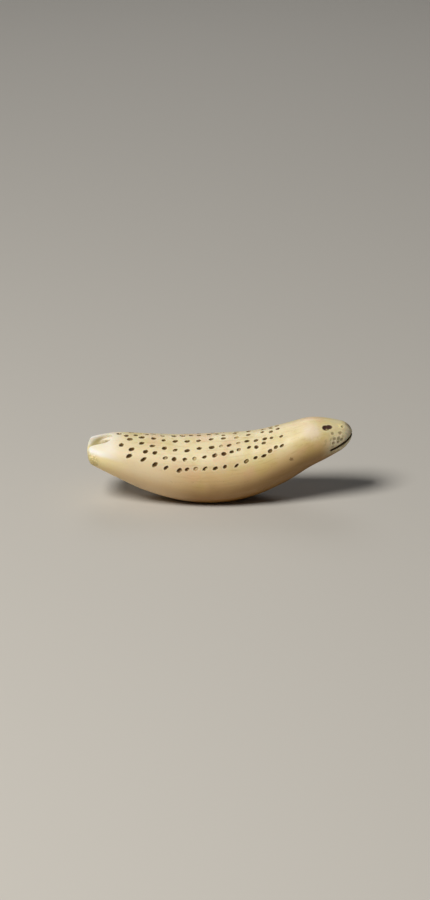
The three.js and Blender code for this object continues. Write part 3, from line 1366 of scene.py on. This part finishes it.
    def line_layer(self, mouth: Mouth) -> Layer:
        """The stain in the mouth's line, which ends at the mouth's corners.

        Args:
            mouth: The mouth.

        Returns:
            The stain's layer.
        """
        corner = mouth.body.length / 2 - mouth.length
        ends = (By.ALONG, corner - self.line_end_fade, corner + self.line_end_fade)
        return Layer(self.line_stain, self.line_cover, ((By.OFF_MOUTH, *self.line_edge), ends))

    def colour(
        self,
        tree: bpy.types.NodeTree,
        found: Values,
        frayed_place: bpy.types.NodeSocket,
        mouth: Mouth,
    ) -> bpy.types.NodeSocket:
        """Lays the colours over one another.

        Args:
            tree: The material's node tree.
            found: The values that the layers follow.
            frayed_place: The place on the finished piece, frayed.
            mouth: The mouth.

        Returns:
            The colour.
        """
        colour = linear(self.back)
        for layer in (*self.layers, self.line_layer(mouth)):
            if layer.place:
                both = {0: frayed_place, 1: layer.place}
                found[By.FROM_PLACE] = add_node(
                    tree, "VectorMath", both, "Value", operation="DISTANCE"
                )
            cover = layer.cover
            for value, starts, full in layer.ranges:
                cover = add_node(
                    tree,
                    "MapRange",
                    {
                        "Value": found[value],
                        "From Min": starts,
                        "From Max": full,
                        "To Max": cover,
                    },
                    interpolation_type="SMOOTHSTEP",
                )
            mixed = {0: cover, 6: colour, 7: linear(layer.colour)}
            colour = add_node(tree, "Mix", mixed, 2, data_type="RGBA")
        return colour

    def rough(self, tree: bpy.types.NodeTree, found: Values) -> bpy.types.NodeSocket:
        """Varies the gloss with the clouds, and dulls the cuts, the muzzle and the flippers.

        Args:
            tree: The material's node tree.
            found: The values that it follows.

        Returns:
            The roughness.
        """
        rough = add_node(
            tree,
            "MapRange",
            {
                "Value": found[By.CLOUDS],
                "From Min": self.cloud_span[0],
                "From Max": self.cloud_span[1],
                "To Min": self.roughness + self.roughness_sway[0],
                "To Max": self.roughness + self.roughness_sway[1],
            },
        )
        for (value, starts, full), rougher in self.rougher:
            rough = add_node(
                tree,
                "MapRange",
                {
                    "Value": found[value],
                    "From Min": starts,
                    "From Max": full,
                    "To Min": rough,
                    "To Max": rougher,
                },
            )
        return rough

    def relief(self, tree: bpy.types.NodeTree, found: Values) -> bpy.types.NodeSocket:
        """Adds the fine relief of the grain and the pores, which is strongest on the muzzle.

        Args:
            tree: The material's node tree.
            found: The values that it follows.

        Returns:
            The normal.
        """
        uneven = {0: found[By.PORES], 1: self.pore_relief, 2: found[By.GRAIN]}
        height = add_node(tree, "Math", uneven, operation="MULTIPLY_ADD")
        strength = add_node(
            tree,
            "MapRange",
            {
                "Value": found[By.ALONG],
                "From Min": self.rough_muzzle[0],
                "From Max": self.rough_muzzle[1],
                "To Min": self.relief_strength[0],
                "To Max": self.relief_strength[1],
            },
        )
        bump = {"Height": height, "Strength": strength, "Distance": self.relief_height * MM}
        return add_node(tree, "Bump", bump)

    def make(self, mouth: Mouth) -> bpy.types.Material:
        """Makes the material.

        Args:
            mouth: The mouth, whose line has a stain of its own.

        Returns:
            The material, which reads what is noted on the mesh.
        """
        material = bpy.data.materials.new("walrus_ivory_carved_and_handled")
        material.use_nodes = True
        tree = material.node_tree
        tree.nodes.clear()
        tusk = add_node(tree, "Attribute", out="Vector", attribute_name=Note.TUSK_PLACE.value)
        in_metres = add_node(tree, "TexCoord", out="Object")
        place = add_node(tree, "VectorMath", {0: in_metres, "Scale": 1 / MM}, operation="SCALE")

        # Noise on three axes, from -0.5 to 0.5, frays the edges of stains and patches.
        noise = {"Vector": tusk, "Scale": 1 / self.rag_width, "Detail": self.rag_detail}
        rag = add_node(
            tree,
            "VectorMath",
            {0: add_node(tree, "TexNoise", noise, "Color"), 1: (0.5, 0.5, 0.5)},
            operation="SUBTRACT",
        )
        frayed_place = add_node(
            tree,
            "VectorMath",
            {0: rag, 1: self.rag_of_places, 2: place},
            operation="MULTIPLY_ADD",
        )

        found = self.on_tusk(tree, tusk) | self.in_cuts(tree, rag)
        found[By.ABOVE_REST] = add_node(tree, "SeparateXYZ", {0: place}, "Z")
        found[By.OFF_MOUTH] = self.off_mouth(tree, place, found[By.PORES], mouth)
        surface = add_node(
            tree,
            "BsdfPrincipled",
            {
                "Base Color": self.colour(tree, found, frayed_place, mouth),
                "Roughness": self.rough(tree, found),
                "IOR": self.ior,
                "Normal": self.relief(tree, found),
                "Subsurface Weight": self.glow,
                "Subsurface Radius": self.glow_spread,
                "Subsurface Scale": self.glow_depth * MM,
            },
        )
        add_node(tree, "OutputMaterial", {"Surface": surface})
        return material


@dataclass
class CarvedSeal:
    """The whole carving, in one piece of walrus tusk."""

    shot: Shot
    name: str = "seal_carving"
    node: str = "carved_seal"
    material_slot: str = "walrus_ivory"
    crease_deg: float = 32.0
    cuts_weighed: int = 3

    def build(self) -> bpy.types.Object:
        """Builds, cuts and dresses the seal, and sets it in the frame.

        Returns:
            The finished piece.
        """
        body = RoundBody()
        cleft = FlipperCleft(body)
        mouth = Mouth(body)
        cuts = SurfaceCuts(self.shot)
        seal = body.build(self.name)
        self.report(seal, "round body")
        cuts.cut(seal)
        self.report(seal, "small cuts")
        cleft.cut(seal)
        mouth.cut(seal)
        self.report(seal, "cleft and mouth")
        self.shade(seal)
        self.note_places(seal, body)
        self.note_marks(seal, cuts.marks)
        seal.data.materials.clear()
        seal.data.materials.append(WalrusIvory().make(mouth))
        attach(seal, "root")
        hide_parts(self.node)
        return seal

    def report(self, seal: bpy.types.Object, stage: str) -> None:
        """Reports how many faces the seal has after a stage.

        Args:
            seal: The piece.
            stage: What was done last.
        """
        log.info("%s: %s, %d faces", seal.name, stage, len(seal.data.polygons))

    def shade(self, seal: bpy.types.Object) -> None:
        """Shades the skin smooth and keeps the rims of the cuts."""
        select_only(seal)
        bpy.ops.object.shade_smooth_by_angle(angle=math.radians(self.crease_deg))

    def note_places(self, seal: bpy.types.Object, body: RoundBody) -> None:
        """Notes on each vertex where it is along the curved tusk, and how far below the skin.

        Args:
            seal: The piece.
            body: The body, whose sections tell the places.
        """
        mesh = seal.data
        places, depths = [], []
        for vertex in mesh.vertices:
            x, y, z = vertex.co / MM
            at = min(1.0, max(0.0, x / body.length + 0.5))
            section = body.section(at)
            up = z - section.z
            places.extend((x, y, up))
            half_width, half_depth = max(section.half_width, MM), max(section.half_depth, MM)
            share = math.hypot(y / half_width, up / half_depth)
            depths.append(max(0.0, (1 - share) * half_depth))
        along_tusk = mesh.attributes.new(Note.TUSK_PLACE.value, "FLOAT_VECTOR", "POINT")
        along_tusk.data.foreach_set("vector", places)
        below_skin = mesh.attributes.new(Note.CUT_DEPTH.value, "FLOAT", "POINT")
        below_skin.data.foreach_set("value", depths)

    def note_marks(self, seal: bpy.types.Object, marks: list[Mark]) -> None:
        """Notes on each corner of a face where it is in the stained cut nearest to the face.

        Args:
            seal: The piece.
            marks: The cuts.
        """
        mesh = seal.data
        tree = KDTree(len(marks))
        for i, mark in enumerate(marks):
            tree.insert(mark.middle, i)
        tree.balance()
        places, bares, stains = [], [], []
        for face in mesh.polygons:
            near = [marks[i] for _, i, _ in tree.find_n(face.center, self.cuts_weighed)]
            mark = min(near, key=lambda found: math.hypot(*found.radii_to(face.center)))
            dark, *bare_spot = mark.stain.value
            for i in face.vertices:
                places.extend((*mark.radii_to(mesh.vertices[i].co), 0.0))
                bares.extend(bare_spot)
                stains.extend((dark, mark.kind.value, 0.0))
        for note, values in (
            (Note.MARK_PLACE, places),
            (Note.MARK_BARE, bares),
            (Note.MARK_STAIN, stains),
        ):
            noted = mesh.attributes.new(note.value, "FLOAT_VECTOR", "CORNER")
            noted.data.foreach_set("vector", values)


@dataclass(frozen=True)
class SoftLight:
    """A soft studio light: its name, place and size in metres, and power, turned to the seal."""

    name: str
    place: Sizes
    size: float
    watts: float
    colour: str = "#ffffff"

    def add(self) -> None:
        """Adds the light."""
        lamp = bpy.data.lights.new(self.name, "AREA")
        lamp.shape, lamp.size = "DISK", self.size
        lamp.energy = self.watts
        lamp.color = linear(self.colour)[:3]
        placed = bpy.data.objects.new(self.name, lamp)
        placed.location = self.place
        placed.rotation_euler = (-Vector(self.place)).to_track_quat("-Z", "Y").to_euler()
        bpy.context.scene.collection.objects.link(placed)


@dataclass
class Studio:
    """A plain pale floor, its size in metres, under soft light."""

    floor_size: float = 8.0
    floor_squares: int = 8
    floor_colour: str = "#c6c3bd"
    floor_roughness: float = 0.9
    lights: tuple[SoftLight, ...] = (
        SoftLight("key", (-0.42, -0.44, 0.78), 0.42, 9.2, "#fffbf4"),
        SoftLight("rim", (-0.05, 0.7, 0.6), 0.5, 1.0),
    )
    sky: str = "#8a8a8c"
    sky_strength: float = 0.12

    def build(self) -> None:
        """Builds the floor, the lights and the even light all round."""
        select_nothing()
        bpy.ops.mesh.primitive_grid_add(
            x_subdivisions=self.floor_squares,
            y_subdivisions=self.floor_squares,
            size=self.floor_size,
        )
        floor = primitive_added("studio_floor")
        material = bpy.data.materials.new("matt_backdrop_paper")
        material.use_nodes = True
        tree = material.node_tree
        tree.nodes.clear()
        surface = add_node(
            tree,
            "BsdfPrincipled",
            {"Base Color": linear(self.floor_colour), "Roughness": self.floor_roughness},
        )
        add_node(tree, "OutputMaterial", {"Surface": surface})
        floor.data.materials.append(material)
        for light in self.lights:
            light.add()
        world = bpy.data.worlds.new("studio")
        world.use_nodes = True
        background = world.node_tree.nodes["Background"]
        background.inputs["Color"].default_value = linear(self.sky)
        background.inputs["Strength"].default_value = self.sky_strength
        bpy.context.scene.world = world
        bpy.context.scene.view_settings.view_transform = "Standard"


def main() -> None:
    """Builds the seal, its studio and its camera, and writes how large it came out."""
    logging.basicConfig(level=logging.INFO, format="%(message)s")
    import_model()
    shot = Shot()
    shot.add_camera()
    seal = CarvedSeal(shot).build()
    log.info("%s: %d triangles", seal.name, sum(len(p.vertices) - 2 for p in seal.data.polygons))
    Studio().build()
    log.info("studio built")


if __name__ == "__main__":
    main()
